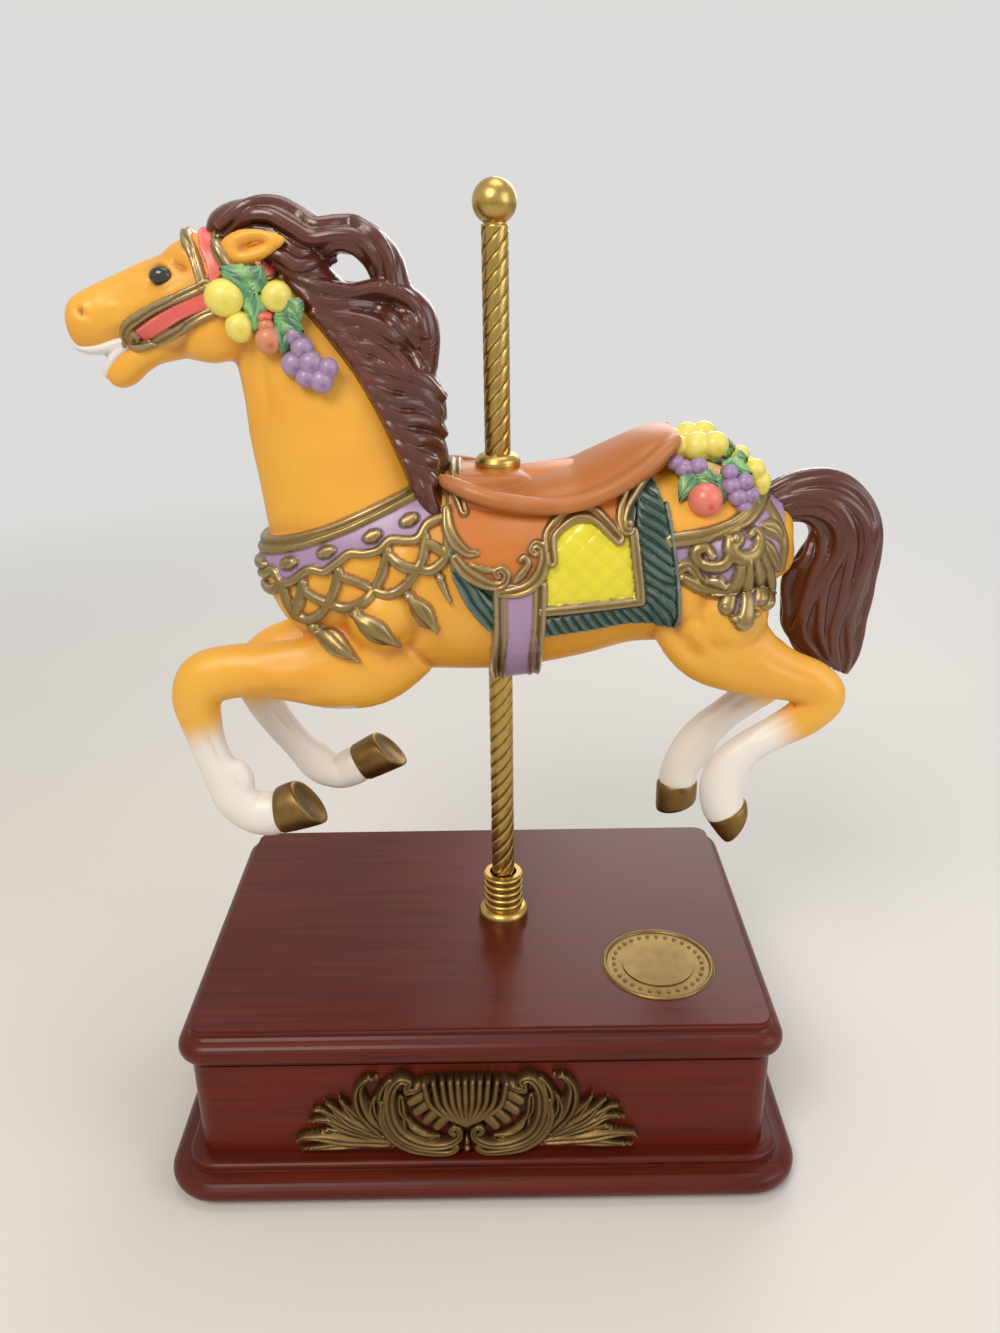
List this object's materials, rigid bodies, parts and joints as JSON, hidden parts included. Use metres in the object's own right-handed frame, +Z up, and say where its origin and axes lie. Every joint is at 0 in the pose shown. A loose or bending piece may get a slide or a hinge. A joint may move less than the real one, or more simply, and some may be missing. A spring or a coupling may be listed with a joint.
{
  "type": "carousel music box",
  "caption": "Porcelain carousel horse on a twisted brass pole over a moulded cherry-wood case; a key-wound cylinder movement lifts it on a face cam.",
  "frame": {"origin": "centre of the wooden case on the surface it stands on", "axes": "+Z up along the pole; +X along the case, towards the tail; -Y is the front with the carved ornament"},
  "size_m": [0.2486, 0.144, 0.3073],
  "materials": {
    "cherry_wood": "satin lacquer",
    "cherry_panel": "satin lacquer",
    "pale_wood": "sanded, bare",
    "brass_screw": "turned",
    "rubber_pad": "matt",
    "medallion_brass": "struck, satin",
    "bronze_carving": "antiqued casting",
    "satin_brass": "satin, aged",
    "zinc_casting": "die-cast",
    "steel": "turned",
    "comb_steel": "ground",
    "spring_steel": "blued",
    "wheel_brass": "machined",
    "acetal": "moulded",
    "palomino_coat": "satin bisque, airbrushed",
    "brown_hair": "glossy paint",
    "tan_saddle": "satin paint",
    "green_fringe": "glossy paint with dark wash",
    "lavender_strap": "satin paint with gilt edges",
    "gold_trim": "antiqued gilt paint",
    "painted_fruit": "satin paint in several colours",
    "coral_bridle": "satin paint with gilt edges"
  },
  "bodies": {
    "case": {"top_board": "cherry_wood", "front_wall": "cherry_panel", "back_wall": "cherry_panel", "left_wall": "cherry_panel", "right_wall": "cherry_panel", "plinth_front": "cherry_wood", "plinth_back": "cherry_wood", "plinth_left": "cherry_wood", "plinth_right": "cherry_wood", "corner_blocks": "pale_wood", "bottom_board": "pale_wood", "board_screws": "brass_screw", "foot_pads": "rubber_pad", "medallion": "medallion_brass", "front_ornament": "bronze_carving", "pole_collar": "satin_brass", "collar_nut": "satin_brass", "bedplate": "zinc_casting", "bedplate_screws": "steel", "ratchet_click": "steel", "bearing_brackets": "zinc_casting", "comb": "comb_steel", "comb_screws": "steel", "cam_post": "steel", "guide_rod": "steel", "governor_frame": "zinc_casting"},
    "rider": {"cam_follower": "acetal", "guide_arm": "zinc_casting", "pole_rod": "steel", "lower_pole": "satin_brass", "upper_pole": "satin_brass", "ball_finial": "satin_brass", "saddle_ferrule": "satin_brass", "horse_body": "palomino_coat", "left_foreleg": "palomino_coat", "right_foreleg": "palomino_coat", "left_hindleg": "palomino_coat", "right_hindleg": "palomino_coat", "ears": "palomino_coat", "mane": "brown_hair", "tail": "brown_hair", "saddle": "tan_saddle", "saddle_blanket": "green_fringe", "girth_strap": "lavender_strap", "breast_collar": "gold_trim", "crupper": "gold_trim", "fruit_garlands": "painted_fruit", "bridle": "coral_bridle"},
    "winder": {"winding_arbor": "steel", "ratchet_wheel": "steel", "winding_key": "steel"},
    "great_wheel_body": {"great_wheel": "wheel_brass", "spring_drum": "wheel_brass", "mainspring": "spring_steel"},
    "cylinder_body": {"pinned_cylinder": "wheel_brass", "cylinder_arbor": "steel"},
    "governor_body": {"governor_worm": "acetal"},
    "cam_body": {"cam_wheel": "wheel_brass", "lift_cam": "acetal"}
  },
  "joints": [
    {"name": "horse_lift", "type": "slide", "parent": "case", "child": "rider", "axis": [0, 0, 1], "range_m": [0, 0.012]},
    {"name": "cam_turn", "type": "hinge", "parent": "case", "child": "cam_body", "pos_m": [0.024, 0, 0.0234], "axis": [0, 0, 1], "range_deg": [-1, 182]},
    {"name": "great_wheel_turn", "type": "hinge", "parent": "case", "child": "great_wheel_body", "pos_m": [-0.0145, 0, 0.0234], "axis": [0, 0, 1], "range_deg": [-182, 1]},
    {"name": "cylinder_turn", "type": "hinge", "parent": "case", "child": "cylinder_body", "pos_m": [-0.0145, -0.034, 0.02857], "axis": [0, 1, 0], "range_deg": [-4, 728]},
    {"name": "governor_turn", "type": "hinge", "parent": "case", "child": "governor_body", "pos_m": [-0.00585, -0.0482, 0.02857], "axis": [0, 0, 1], "range_deg": [-48, 8736]},
    {"name": "key_turn", "type": "hinge", "parent": "case", "child": "winder", "pos_m": [-0.0145, 0, 0.006], "axis": [0, 0, 1], "continuous": true}
  ],
  "couplings": [
    {"joint": "cam_turn", "follows": "horse_lift", "rad_per_m": 261.8},
    {"joint": "great_wheel_turn", "follows": "horse_lift", "rad_per_m": -261.8},
    {"joint": "cylinder_turn", "follows": "horse_lift", "rad_per_m": 1047.2},
    {"joint": "governor_turn", "follows": "horse_lift", "rad_per_m": 12566}
  ]
}
